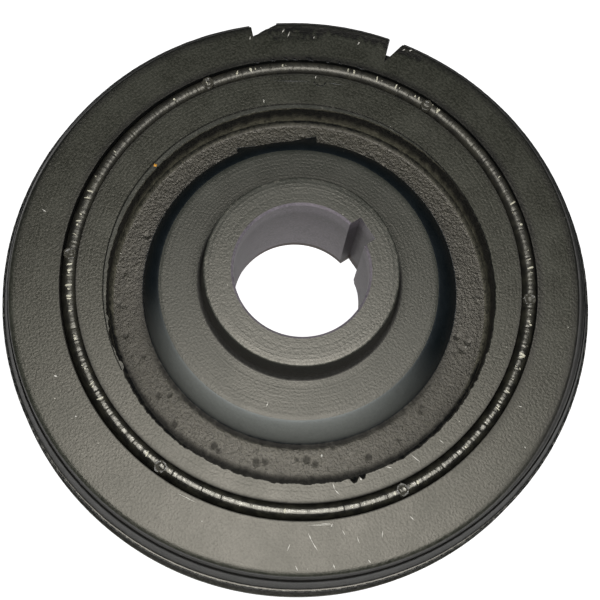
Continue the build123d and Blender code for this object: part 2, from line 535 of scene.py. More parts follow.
def buildHub(values):
    h = hubSizes(values)
    nose = noseRows(h)
    bankPts = bankPoints(h)
    rear = rearRows(h)
    noseEnd = h["noseBase"] + h["noseRoot"]
    noseTop = h["noseRadius"] - h["noseChamfer"]

    def loopAt(angle, c, s):
        spot = channelSpot(h, angle, c, s)
        mouth = max(boreRadius + h["boreChamfer"], keywayRadius(h, angle))
        faceEnd = h["faceRadius"] + spot["faceShift"] - h["faceEdge"]
        out = [(mouth, noseLevel, noseFace, 0.5)]
        out += [(r, noseLevel, noseFace, 0.0) for r in spaced(mouth, noseTop, 4)[1:]]
        out += nose
        out += [(r, h["hubLevel"], hubFace, 0.0) for r in spaced(noseEnd, faceEnd, 7)]
        out.append((faceEnd, h["hubLevel"], bank, 0.3))
        out += bankRows(h, bankPts, c, s, spot)
        out += floorRows(h, c, s, spot)
        out += filletRows(h, c, s, spot)
        out += wallRows(h, c, s, spot)
        out += lipRows(h, spot)
        return out + rear + boreRows(h, angle)

    angles = evenAngles(h["steps"], keywayAngles(h))
    obj = latheMesh("hubBody", angles, loopAt)
    smoothByAngle(obj, 38)
    return obj


hub = buildHub(hubShape)
print("hub", len(hub.data.polygons) * 2, "triangles")

ringShape = {
    "steps": 800,
    "faceSteps": 22,
    "wall": 5.2,
    "grooveDepth": 11.0,
    "grooveAngle": 34.0,
    "grooveRootWidth": 2.0,
    "grooveCorner": [(0.7, 0.2), (0.2, -0.15), (0.0, -0.6)],  # out from the root, past its half width
    "flangeRise": 5.0,
    "flangeWidth": 11.8,
    "rearFlangeRise": 0.9,
    "rearLip": [(-0.45, 0.12), (-0.12, -0.05), (0.0, -0.5)],
    "rearChamfer": 0.6,
    "edgeChamfer": 0.4,
    # the flange's outside as (past the face's edge, down, wear and shading); its values paint light and
    # shade across the edge, darkest on the steep part; the face's edge is crisp on one side
    "crispEdge": [
        (-0.9, 0.0, -0.6), (-0.6, 0.03, -0.8), (-0.35, 0.12, -1.0), (-0.15, 0.3, -1.0), (0.0, 0.6, -1.0),
        (0.15, 1.1, -1.0), (0.3, 1.8, -1.0), (0.5, 2.6, -1.0), (0.85, 3.3, -1.0), (1.3, 3.9, -0.8),
        (1.75, 4.25, -0.3), (2.1, 4.42, 0.2), (2.25, 4.55, 0.2),
    ],
    "softEdge": [
        (0.3, 0.0, 0.0), (0.6, 0.025, 0.0), (0.9, 0.08, 0.0), (1.15, 0.16, 0.0), (1.38, 0.26, 0.1),
        (1.58, 0.4, 0.25), (1.74, 0.58, 0.35), (1.87, 0.9, 0.15), (1.96, 1.4, -0.3), (2.03, 2.0, -0.55),
        (2.09, 2.7, -0.5), (2.16, 3.4, -0.3), (2.25, 4.3, -0.4),
    ],
    # the turned line is a small groove filled with painted shade; the cone's first row has a little
    "turnedLine": [(2.36, 4.9, -1.0), (2.45, 5.5, -1.0), (2.6, 5.6, -1.0), (2.72, 5.2, -1.0)],
    "cone": [
        (2.85, 5.35, -0.3), (3.05, 6.2, 0.0), (3.25, 7.2, 0.0), (3.55, 8.2, 0.0), (3.9, 9.1, 0.0),
        (4.12, 9.8, 0.0), (4.25, 10.3, 0.0), (4.33, 10.5, 0.0),
    ],
    # past the land, down, wear and shading; landEdge's lighter values paint a highlight; landRear counts
    # down from the flange's rear and is all painted shade
    "landEdge": [(-0.6, 10.6, 0.3), (-0.4, 10.63, 0.6), (-0.2, 10.66, 0.6)],
    "land": [(-0.06, 10.75, 0.6), (0.0, 10.95, -0.2)],
    "landRear": [(0.0, -0.35), (-0.1, -0.08), (-0.35, 0.1)],
    "notches": [(157.4, 151.6, 3.2), (127.3, 123.7, 7.3)],  # steep flank, slanting flank, drop
    "notchRoots": [157.35, 126.2],
    "notchJag": 0.18,
    "coneRough": 0.05,
    "softBearing": 300.0,  # side on which the face rounds over softly
    "softFrom": -0.45,
    "softTo": 0.65,
    "liningDirt": [0.9, 0.7, 0.45, 0.2],  # painted shade on the face beside the rubber, from the edge outwards
    # the pitted band between the notches: bearings, inner radius, strength
    "scars": [(118.5, 157.3, 69.3, 0.55), (126.8, 140.5, 70.0, 0.3), (141.5, 153.0, 67.2, 0.35)],
}
ringFace, ringCone, ringGroove, ringBack, ringGlint = range(5)
noNotch = 999.0


def notchRadius(v, faceRadius, angle):
    # how far out the metal reaches at this bearing, inside a notch
    for (steep, slant, drop), root in zip(v["notches"], v["notchRoots"]):
        rootRadius = faceRadius - drop
        if slant < angle < root:
            t = (angle - slant) / (root - slant)
            return faceRadius + (rootRadius - faceRadius) * t ** 0.9
        if root <= angle < steep:
            t = (angle - root) / (steep - root)
            return rootRadius + (faceRadius + 8.0 - rootRadius) * t
    return noNotch


def scarAt(v, angle, r):
    scar = 0.0
    for fromAngle, toAngle, reach, strength in v["scars"]:
        if fromAngle < angle < toAngle and r > reach:
            streak = fineNoise(angle * 1.1, r * 0.45, 2.0, 1.0, 3)
            scar += strength * max(0.0, 1.3 + 3.4 * streak) * min(1, (r - reach) / 0.9)
    return scar


def edgeRows(v, angle):
    # the face's edge as (past the face, down, wear and shading value), and how soft it is at this bearing
    side = math.cos(math.radians(angle - v["softBearing"]))
    soft = min(1.0, max(0.0, (side - v["softFrom"]) / (v["softTo"] - v["softFrom"])))
    soft = soft * soft * (3 - 2 * soft)
    rows = []
    for (out, down, wornAndShaded), (softOut, softDown, softWorn) in zip(v["crispEdge"], v["softEdge"]):
        wear = wornAndShaded + (softWorn - wornAndShaded) * soft ** 2
        rows.append((out + (softOut - out) * soft, down + (softDown - down) * soft, wear))
    return rows, soft


def buildRing(v):
    groove = rubberRadius + v["wall"]
    land = groove + v["grooveDepth"]
    faceRadius = land - v["flangeRise"]
    rearRadius = land + v["rearFlangeRise"]
    slope = math.tan(math.radians(v["grooveAngle"] / 2))
    width = v["grooveRootWidth"] + 2 * v["grooveDepth"] * slope
    grooveFront = frontLevel - v["flangeWidth"]
    middle = grooveFront - width / 2
    half = v["grooveRootWidth"] / 2
    chamfer = v["edgeChamfer"]
    rearEdge = middle - half - (rearRadius - groove) * slope

    # parts of the section that stay the same all round
    flange = [(faceRadius + r, d, ringCone, wornAndShaded) for r, d, wornAndShaded in v["turnedLine"] + v["cone"]]
    flange += [(land + r, d, ringGlint, wornAndShaded) for r, d, wornAndShaded in v["landEdge"]]
    flange += [(land + r, d, ringCone, wornAndShaded) for r, d, wornAndShaded in v["land"]]
    flange += [(land + r, v["flangeWidth"] + d, ringCone, -1.0) for r, d in v["landRear"]]
    root = [(groove + r, middle + half + z) for r, z in v["grooveCorner"]]
    root += [(groove + r, middle - half - z) for r, z in reversed(v["grooveCorner"])]
    past, down = v["landRear"][-1]
    cornerOut = v["grooveCorner"][0][0]
    flankTop = (land + past, grooveFront - down)
    flankOut = along(flankTop, (groove + cornerOut, middle + half + cornerOut * slope), 5)[1:]
    flankBack = along(root[-1], (rearRadius - v["rearChamfer"], rearEdge + 0.1), 5)[1:]
    lip = [(rearRadius + r, rearEdge + z) for r, z in v["rearLip"]]
    back = [(rearRadius, backLevel + v["rearChamfer"]), (rearRadius - v["rearChamfer"], backLevel)]
    back += along((rearRadius - 1.5, backLevel), (rubberRadius + chamfer, backLevel), 5)
    back += [(rubberRadius + chamfer, backLevel), (rubberRadius, backLevel + chamfer)]
    # the ring's inner edge beside the rubber is all painted shade; its columns are down and the wear and
    # shading value
    lining = [(chamfer, -1.0), (0.15, -1.0), (0.0, -0.8)]  # down, wear

    def loopAt(angle, c, s):
        limit = notchRadius(v, faceRadius, angle)
        if limit < noNotch:
            limit += v["notchJag"] * roundNoise(c, s, 60, 5.0, 0.9)
        edge, soft = edgeRows(v, angle)
        inner = rubberRadius + 0.3
        outer = min(faceRadius + edge[0][0], limit)
        steps = v["faceSteps"]
        dirt = v["liningDirt"]
        out = []
        for i, r in enumerate(spaced(inner, outer, steps)):
            scar = scarAt(v, angle, r)
            # painted shade darkens the face's last rows on the crisp side and the rows beside the rubber;
            # the scars add their own dark
            rim = 0.8 * max(0.0, (i - (steps - 4)) / 4)
            beside = dirt[i] if i < len(dirt) else 0.0
            wornAndShaded = -min(1.0, scar + rim * (1 - soft) + beside * (1 - soft))
            out.append((r, frontLevel - 0.07 * min(scar, 1), ringFace, wornAndShaded))
        for i, (past, down, wornAndShaded) in enumerate(edge):
            r = faceRadius + past
            nick = 0.04 * fineNoise(c * r, s * r, down, 1.1, 4)
            cutDrop = 0.02 * i if r > limit else 0.0
            zone = ringFace if i < 6 else ringCone
            out.append((min(r + nick, limit), frontLevel - down - cutDrop, zone, wornAndShaded))
        for r, down, zone, wornAndShaded in flange:
            nick = v["coneRough"] * fineNoise(c * r, s * r, frontLevel - down, 1.4, 4)
            out.append((min(r + nick, limit), frontLevel - down, zone, wornAndShaded))
        # painted shade in the belt groove
        out += [(min(r, max(limit, groove + 0.05)), z, ringGroove, -0.6) for r, z in flankOut]
        out += [(r, z, ringGroove, -0.6) for r, z in root + flankBack]
        # the rear lip is lightened a little, as painted light
        for r, z in lip:
            nick = 0.03 * fineNoise(c * r, s * r, z, 1.4, 4)
            out.append((r + min(nick, 0), z, ringBack, 0.35))
        out += [(r, z, ringBack, 0.0) for r, z in back]
        return out + [(rubberRadius, frontLevel - down, ringBack, wornAndShaded) for down, wornAndShaded in lining]

    extra = []
    for (steep, slant, drop), rootAngle in zip(v["notches"], v["notchRoots"]):
        extra += [steep, steep - 0.012, slant, rootAngle]
        extra += spaced(slant, rootAngle, 14)[1:]
    obj = latheMesh("ringBody", evenAngles(v["steps"], extra), loopAt)
    smoothByAngle(obj, 32)
    return obj


ring = buildRing(ringShape)
print("ring", len(ring.data.polygons) * 2, "triangles")


def addNode(tree, kind, inputs=None, **settings):
    # inputs: socket name or number -> value, or the socket that feeds it
    node = tree.nodes.new(kind)
    for key, value in settings.items():
        setattr(node, key, value)
    for key, value in (inputs or {}).items():
        if isinstance(value, bpy.types.NodeSocket):
            tree.links.new(value, node.inputs[key])
        else:
            node.inputs[key].default_value = value
    return node


def maths(tree, operation, a, b=0.0, clamp=False):
    node = addNode(tree, "ShaderNodeMath", {0: a, 1: b}, operation=operation, use_clamp=clamp)
    return node.outputs[0]


def vectorMaths(tree, operation, a, b=None):
    values = {0: a} if b is None else {0: a, 1: b}
    node = addNode(tree, "ShaderNodeVectorMath", values, operation=operation)
    return node.outputs["Value" if operation in ("LENGTH", "DOT_PRODUCT") else "Vector"]


def vectorOf(tree, x=0.0, y=0.0, z=0.0):
    return addNode(tree, "ShaderNodeCombineXYZ", {"X": x, "Y": y, "Z": z}).outputs[0]


def flattened(tree, place):
    return vectorMaths(tree, "MULTIPLY", place, (1.0, 1.0, 0.0))


def onCircle(tree, radius, turn, height):
    x = maths(tree, "MULTIPLY", maths(tree, "COSINE", turn), radius)
    y = maths(tree, "MULTIPLY", maths(tree, "SINE", turn), radius)
    return vectorOf(tree, x, y, height)


def mapRange(tree, value, low, high, toLow=0.0, toHigh=1.0, **settings):
    values = {"Value": value, "From Min": low, "From Max": high, "To Min": toLow, "To Max": toHigh}
    return addNode(tree, "ShaderNodeMapRange", values, **settings).outputs["Result"]


def softStep(tree, value, low, high):
    return mapRange(tree, value, low, high, interpolation_type="SMOOTHSTEP")


def noiseAt(tree, place, scale, detail):
    values = {"Vector": place, "Scale": scale, "Detail": detail}
    return addNode(tree, "ShaderNodeTexNoise", values).outputs["Fac"]


def lineNoise(tree, where):
    values = {"W": where, "Scale": 1.0, "Detail": 2.0}
    return addNode(tree, "ShaderNodeTexNoise", values, noise_dimensions="1D").outputs["Fac"]


def randomVector(tree, low, high, seed):
    values = {"Min": low, "Max": high, "Seed": seed}
    return addNode(tree, "FunctionNodeRandomValue", values, data_type="FLOAT_VECTOR").outputs[0]


def randomValue(tree, low, high, seed):
    values = {2: low, 3: high, "Seed": seed}  # 2 and 3 are the float sockets of Min and Max
    return addNode(tree, "FunctionNodeRandomValue", values, data_type="FLOAT").outputs[1]


def placeOf(tree):
    return addNode(tree, "GeometryNodeInputPosition").outputs[0]


def shapeTree(name, inputs):
    # geometry tree with named inputs and one geometry output
    tree = bpy.data.node_groups.new(name, "GeometryNodeTree")
    tree.interface.new_socket("Geometry", in_out="OUTPUT", socket_type="NodeSocketGeometry")
    kinds = {float: "NodeSocketFloat", int: "NodeSocketInt"}
    for label, value in inputs.items():
        sock = tree.interface.new_socket(label, in_out="INPUT", socket_type=kinds[type(value)])
        sock.default_value = value
    tree.interface.new_socket("Material", in_out="INPUT", socket_type="NodeSocketMaterial")
    return tree, tree.nodes.new("NodeGroupInput").outputs


def closeTree(tree, given, geometry):
    real = addNode(tree, "GeometryNodeRealizeInstances", {"Geometry": geometry})
    values = {"Geometry": real.outputs[0], "Material": given["Material"]}
    painted = addNode(tree, "GeometryNodeSetMaterial", values)
    out = tree.nodes.new("NodeGroupOutput")
    tree.links.new(painted.outputs[0], out.inputs[0])


def bakeTree(name, tree, values, material):
    # runs the tree once and keeps the result as a plain mesh
    obj = addObject(name, bpy.data.meshes.new(name))
    mod = obj.modifiers.new("shape", "NODES")
    mod.node_group = tree
    for item in tree.interface.items_tree:
        if item.in_out == "INPUT":
            mod[item.identifier] = material if item.name == "Material" else values[item.name]
    graph = bpy.context.evaluated_depsgraph_get()
    mesh = bpy.data.meshes.new_from_object(obj.evaluated_get(graph))
    obj.modifiers.remove(mod)
    obj.data = mesh
    mesh.name = name
    return obj


def effectGroup(name, inputs, outputs):
    # shader group with named numbers in and out
    tree = bpy.data.node_groups.new(name, "ShaderNodeTree")
    for label, value in inputs.items():
        sock = tree.interface.new_socket(label, in_out="INPUT", socket_type="NodeSocketFloat")
        sock.default_value = value
    for label in outputs:
        tree.interface.new_socket(label, in_out="OUTPUT", socket_type="NodeSocketFloat")
    return tree, tree.nodes.new("NodeGroupInput").outputs, tree.nodes.new("NodeGroupOutput").inputs


def objectPlace(tree):
    return addNode(tree, "ShaderNodeTexCoord").outputs["Object"]


def perMetre(tree, size):
    # a size in millimetres as a texture's scale
    return maths(tree, "DIVIDE", 1 / mm, size)


def satinGroup():
    # grain and mottling of a thin sprayed coat over turned or cast iron
    defaults = {"Grain Size": 0.45, "Grain": 0.5, "Mottle Size": 9.0, "Ring Size": 0.5, "Rings": 0.4}
    tree, given, out = effectGroup("satinCoat", defaults, ["Mottle", "Grain", "Height"])
    place = objectPlace(tree)
    grain = noiseAt(tree, place, perMetre(tree, given["Grain Size"]), 3.0)
    mottle = noiseAt(tree, place, perMetre(tree, given["Mottle Size"]), 5.0)
    radius = vectorMaths(tree, "LENGTH", flattened(tree, place))
    steps = maths(tree, "DIVIDE", maths(tree, "MULTIPLY", radius, 1 / mm), given["Ring Size"])
    ringLift = maths(tree, "MULTIPLY", lineNoise(tree, steps), given["Rings"])
    grainLift = maths(tree, "MULTIPLY", grain, given["Grain"])
    tree.links.new(mottle, out["Mottle"])
    tree.links.new(grain, out["Grain"])
    tree.links.new(maths(tree, "ADD", ringLift, grainLift), out["Height"])
    return tree


def speckGroup():
    # a few cells in every hundred hold one small speck
    tree, given, out = effectGroup("specks", {"Cell": 1.6, "Size": 0.09, "Share": 0.1}, ["Mask"])
    values = {"Vector": objectPlace(tree), "Scale": perMetre(tree, given["Cell"])}
    cells = addNode(tree, "ShaderNodeTexVoronoi", values)
    pick = addNode(tree, "ShaderNodeSeparateColor", {"Color": cells.outputs["Color"]})
    present = maths(tree, "LESS_THAN", pick.outputs["Red"], given["Share"])
    reach = maths(tree, "MULTIPLY", maths(tree, "ADD", pick.outputs["Green"], 0.25), given["Size"])
    inside = maths(tree, "LESS_THAN", cells.outputs["Distance"], reach)
    tree.links.new(maths(tree, "MULTIPLY", present, inside), out["Mask"])
    return tree


def wearShadingGroup():
    # the mesh's own wear and shading values: above zero rubbed edges and painted light, below zero painted
    # shade in corners, crevices and on walls, and dark scars
    tree, given, out = effectGroup("edgeWear", {"Amount": 0.5, "Size": 1.2}, ["Mask", "Dirt"])
    grain = noiseAt(tree, objectPlace(tree), perMetre(tree, given["Size"]), 4.0)
    stored = addNode(tree, "ShaderNodeAttribute", attribute_name="wear").outputs["Fac"]
    rubbed = maths(tree, "MULTIPLY", stored, grain)
    rubbed = maths(tree, "ADD", rubbed, maths(tree, "MULTIPLY", given["Amount"], 0.5))
    tree.links.new(softStep(tree, rubbed, 0.62, 0.86), out["Mask"])
    below = maths(tree, "MULTIPLY", stored, -1.0)
    broken = maths(tree, "MULTIPLY", maths(tree, "SUBTRACT", grain, 0.5), 0.9)
    dirty = maths(tree, "ADD", below, maths(tree, "MULTIPLY", broken, below))
    tree.links.new(maths(tree, "MAXIMUM", dirty, 0.0, clamp=True), out["Dirt"])
    return tree


def sideGroup():
    # 1 on one side of the axis, 0 on the other
    defaults = {"Bearing X": 1.0, "Bearing Y": 0.0, "From": 0.0, "To": 1.0}
    tree, given, out = effectGroup("oneSide", defaults, ["Mask"])
    outwards = vectorMaths(tree, "NORMALIZE", flattened(tree, objectPlace(tree)))
    aim = vectorOf(tree, given["Bearing X"], given["Bearing Y"])
    facing = vectorMaths(tree, "DOT_PRODUCT", outwards, aim)
    tree.links.new(softStep(tree, facing, given["From"], given["To"]), out["Mask"])
    return tree


oneSide = sideGroup()
satin = satinGroup()
specks = speckGroup()
edgeWear = wearShadingGroup()


def useGroup(tree, group, values):
    return addNode(tree, "ShaderNodeGroup", values, node_tree=group).outputs


def sideMask(tree, bearing, low, high):
    turn = math.radians(bearing)
    values = {"Bearing X": math.cos(turn), "Bearing Y": math.sin(turn), "From": low, "To": high}
    return useGroup(tree, oneSide, values)["Mask"]


def mixColor(tree, factor, a, b):
    return addNode(tree, "ShaderNodeMix", {0: factor, 6: a, 7: b}, data_type="RGBA").outputs[2]


def mixValue(tree, factor, a, b):
    return addNode(tree, "ShaderNodeMix", {0: factor, 2: a, 3: b}, data_type="FLOAT").outputs[0]


def bumped(tree, height, distance):
    values = {"Height": height, "Distance": distance * mm, "Strength": 1.0}
    return addNode(tree, "ShaderNodeBump", values).outputs["Normal"]


def newMaterial(name):
    mat = bpy.data.materials.new(name)
    mat.use_nodes = True
    tree = mat.node_tree
    shader = tree.nodes["Principled BSDF"]
    return mat, tree, shader


def setShine(shader, ior, level, tint):
    shader.inputs["IOR"].default_value = ior
    shader.inputs["Specular IOR Level"].default_value = level
    shader.inputs["Specular Tint"].default_value = tint


def rgb(red, green, blue):
    # written as the eye sees them, 0 to 255
    out = []
    for value in (red, green, blue):
        v = value / 255
        out.append(v / 12.92 if v <= 0.04045 else ((v + 0.055) / 1.055) ** 2.4)
    return (*out, 1.0)


def mottled(tree, mottle, c):
    return mixColor(tree, softStep(tree, mottle, 0.35, 0.68), rgb(*c["dark"]), rgb(*c["light"]))


def skinOf(tree, c):
    # the grain of a finish, and where dust specks lie on it
    grain = {"Grain Size": c["grainSize"], "Grain": c["grain"], "Mottle Size": c["mottleSize"]}
    skin = useGroup(tree, satin, grain | {"Ring Size": c["ringSize"], "Rings": c["rings"]})
    dust = {"Cell": c["speckCell"], "Size": c["speckSize"], "Share": c["speckShare"]}
    return skin, useGroup(tree, specks, dust)["Mask"]


def coatMaterial(name, c):
    # sprayed coat on iron, with dust specks and rubbed edges
    mat, tree, shader = newMaterial(name)
    coat, dust = skinOf(tree, c)
    # the look's wear amount sets how much rubbed bare colour shows; on the bevel that bare colour is painted
    # light
    use = useGroup(tree, edgeWear, {"Amount": c["wear"], "Size": 1.1})
    fine = softStep(tree, coat["Grain"], 0.36, 0.66)
    base = mottled(tree, coat["Mottle"], c)
    # a colour given on one side of the axis; on the bank it is painted light
    if "side" in c:
        side = c["side"]
        part = sideMask(tree, side["bearing"], side["from"], side["to"])
        base = mixColor(tree, part, base, rgb(*side["color"]))
    layers = [
        # from the lowest up: where it shows, how strongly, its colour
        (fine, c["grainTone"], c["grainColor"]),
        (use["Mask"], 0.7, c["bare"]),
        (dust, 0.8, c["speckColor"]),
    ]
    for mask, strength, color in layers:
        base = mixColor(tree, maths(tree, "MULTIPLY", mask, strength), base, rgb(*color))
    # painted shade, and the dark of the scars, laid over everything else
    base = mixColor(tree, use["Dirt"], base, rgb(*c["dirt"]))
    tree.links.new(base, shader.inputs["Base Color"])
    # the dark of painted shade and scars is rougher on the side towards the camera
    rough = mapRange(tree, coat["Mottle"], 0.3, 0.7, c["roughness"] - 0.04, c["roughness"] + 0.04)
    nearSide = sideMask(tree, view["nearSide"], -0.1, 0.75)
    duller = maths(tree, "MULTIPLY", maths(tree, "MULTIPLY", use["Dirt"], nearSide), 0.5)
    tree.links.new(maths(tree, "ADD", rough, duller), shader.inputs["Roughness"])
    tree.links.new(bumped(tree, coat["Height"], c["relief"]), shader.inputs["Normal"])
    setShine(shader, 1.6, c["specular"], c["specularTint"])
    return mat


coatLook = {
    "dark": (27, 31, 23),
    "light": (39, 43, 35),
    "bare": (120, 118, 108),
    # the colour of painted shade and of the scars
    "dirt": (5, 9, 13),
    "grainColor": (74, 75, 66),
    "grainTone": 0.55,
    "grainSize": 0.6,
    "grain": 0.8,
    "mottleSize": 8.0,
    "ringSize": 0.6,
    "rings": 0.3,
    "relief": 0.1,
    "roughness": 0.405,
    "specular": 0.84,
    "specularTint": (1.0, 0.93, 0.81, 1.0),
    "wear": 0.25,
    "speckCell": 2.2,
    "speckSize": 0.075,
    "speckShare": 0.035,
    "speckColor": (190, 188, 176),
}
noseLook = coatLook | {
    "dark": (52, 55, 50),
    "light": (58, 61, 56),
    "grainColor": (68, 70, 64),
    "specular": 1.0,
    "ringSize": 0.9,
    "rings": 0.5,
}
hubFaceLook = coatLook | {
    "dark": (50, 53, 48),
    "light": (56, 59, 54),
    "grainColor": (66, 68, 62),
    "specular": 0.75,
    "rings": 0.35,
    "ringSize": 0.8,
}
castLook = coatLook | {
    "dark": (22, 24, 18),
    "light": (40, 39, 33),
    "grainColor": (76, 74, 62),
    "grainTone": 0.5,
    "grain": 1.0,
    "relief": 0.24,
    "rings": 0.0,
    "roughness": 0.45,
    "specular": 0.95,
    "mottleSize": 1.8,
}
# painted shade and light: the bank is coloured nearly black as shade, and lighter on the side towards the
# camera as painted light
bankLook = coatLook | {
    "dark": (2, 10, 15),
    "light": (6, 15, 20),
    "side": {"bearing": -45.0, "from": 0.2, "to": 1.0, "color": (114, 116, 111)},
    "grainColor": (44, 48, 47),
    "grainTone": 0.12,
    "relief": 0.05,
    "rings": 0.0,
    "mottleSize": 4.0,
    "roughness": 0.5,
    "specular": 0.5,
    "specularTint": (0.86, 0.95, 1.0, 1.0),
}
# painted light: a lighter copy of the cast coat for the wall, darkened again near the lip by painted shade
wallLook = castLook | {
    "dark": (64, 63, 53),
    "light": (104, 101, 86),
    "grainColor": (140, 136, 118),
    "relief": 0.16,
    "specular": 0.3,
    "roughness": 0.5,
}
# painted shade: a darker copy of the coat for the nose's side wall
noseSideLook = coatLook | {
    "dark": (18, 23, 26),
    "light": (26, 31, 32),
    "grainColor": (34, 38, 38),
    "roughness": 0.5,
}
# painted shade: a darker copy of the coat for the flange's bevel; its bare colour paints light where the
# bevel's values are high
bevelLook = coatLook | {
    "dark": (20, 24, 26),
    "light": (28, 32, 33),
    "grainColor": (58, 60, 58),
    "bare": (164, 162, 154),
    "wear": 0.75,
    "roughness": 0.42,
    "specular": 0.5,
}
boreLook = coatLook | {
    "dark": (102, 96, 104),
    "light": (128, 121, 129),
    "grainColor": (146, 140, 146),
    "roughness": 0.42,
    "rings": 0.0,
    "relief": 0.02,
    "specular": 0.6,
}
leadInLook = boreLook | {"dark": (44, 28, 28), "light": (60, 40, 38), "grainColor": (70, 52, 48)}

coat = coatMaterial("satinCoat", coatLook)
noseCoat = coatMaterial("noseCoat", noseLook)
hubFaceCoat = coatMaterial("hubFaceCoat", hubFaceLook)
castCoat = coatMaterial("castCoat", castLook)
bankCoat = coatMaterial("bankCoat", bankLook)
noseSideCoat = coatMaterial("noseSideCoat", noseSideLook)
bevelCoat = coatMaterial("bevelCoat", bevelLook)
# its bare colour on the land's edge is a painted highlight
glintCoat = coatMaterial("polishedEdge", bevelLook | {"roughness": 0.22, "relief": 0.02, "specular": 1.0})
boreMetal = coatMaterial("boreMetal", boreLook)
leadInMetal = coatMaterial("leadInMetal", leadInLook)
wallCoat = coatMaterial("wallCoat", wallLook)

# in the order of the zones
hubCoats = [noseCoat, hubFaceCoat, castCoat, coat, boreMetal, leadInMetal, coat]
hubCoats += [bankCoat, noseSideCoat, wallCoat]
ringCoats = [coat, bevelCoat, bevelCoat, coat, glintCoat]
for piece, coats in ((hub, hubCoats), (ring, ringCoats)):
    for mat in coats:
        piece.data.materials.append(mat)

rubberLook = {
    "dark": (24, 24, 22),
    "light": (50, 49, 41),
    "roughness": 0.46,
    "glossRoughness": 0.27,
    "glossBearing": -30.0,
    "grainSize": 0.5,
    "grain": 1.0,
    "mottleSize": 2.2,
    "ringSize": 0.5,
    "rings": 0.0,
    "relief": 0.05,
    "speckCell": 1.3,
    "speckSize": 0.12,
    "speckShare": 0.06,
    "speckColor": (176, 170, 150),
    "specularTint": (1.0, 0.96, 0.84, 1.0),
}


def rubberMaterial(c):
    mat, tree, shader = newMaterial("rubber")
    skin, dust = skinOf(tree, c)
    base = mixColor(tree, dust, mottled(tree, skin["Mottle"], c), rgb(*c["speckColor"]))
    tree.links.new(base, shader.inputs["Base Color"])
    tree.links.new(bumped(tree, skin["Height"], c["relief"]), shader.inputs["Normal"])
    glossy = sideMask(tree, c["glossBearing"], -0.3, 0.85)
    drop = maths(tree, "MULTIPLY", glossy, c["roughness"] - c["glossRoughness"])
    tree.links.new(maths(tree, "SUBTRACT", c["roughness"], drop), shader.inputs["Roughness"])
    setShine(shader, 1.7, 1.0, c["specularTint"])
    return mat


def plainMaterial(name, color, roughness):
    mat, tree, shader = newMaterial(name)
    shader.inputs["Base Color"].default_value = rgb(*color)
    shader.inputs["Roughness"].default_value = roughness
    return mat


plainLooks = {
    # colour and roughness
    # the ticks are coloured pale, as painted glints
    "rubberTick": ((214, 210, 188), 0.35),
    # the torn gates are lighter than the bead, as painted sheen
    "tornRubber": ((74, 72, 64), 0.17),
    "flashRubber": ((14, 15, 14), 0.45),
    "bareMetal": ((222, 219, 209), 0.36),
    "whiteSpeck": ((226, 224, 214), 0.6),
    "brassFleck": ((236, 170, 60), 0.3),
    "coatRun": ((22, 24, 18), 0.4),
}
plain = {name: plainMaterial(name, *look) for name, look in plainLooks.items()}
rubberMat = rubberMaterial(rubberLook)
print("materials made")

beadShape = {
    "Middle Radius": 59.35 * mm,
    "Width": 4.5 * mm,
    "Front": (frontLevel - 0.9) * mm,
    "Back": (backLevel + 0.9) * mm,
    "Crown": 1.0 * mm,
    "Bead Half": 1.8 * mm,
    "Crest Out": 0.17 * mm,
    "Crest Shift": 0.5 * mm,
    "Crest Bearing": math.radians(90),
    "Ripple": 0.18 * mm,
    "Ripples": 330.0,
    "Crevice": 0.6 * mm,
    "Unevenness": 0.14 * mm,
    "Waviness": 0.16 * mm,
    "Marks": 54.0,
    "Mark Depth": 0.1 * mm,
    "Steps": 2160,
}


def crestRadius(tree, given, turn, start):
    # the crest sits further out on one side than on the other
    swung = maths(tree, "COSINE", maths(tree, "SUBTRACT", turn, given["Crest Bearing"]))
    return maths(tree, "ADD", start, maths(tree, "MULTIPLY", swung, given["Crest Shift"]))


def bothWays(tree, factor, size):
    # noise from 0 to 1 as a shift up and down
    return maths(tree, "MULTIPLY", maths(tree, "SUBTRACT", factor, 0.5), size)


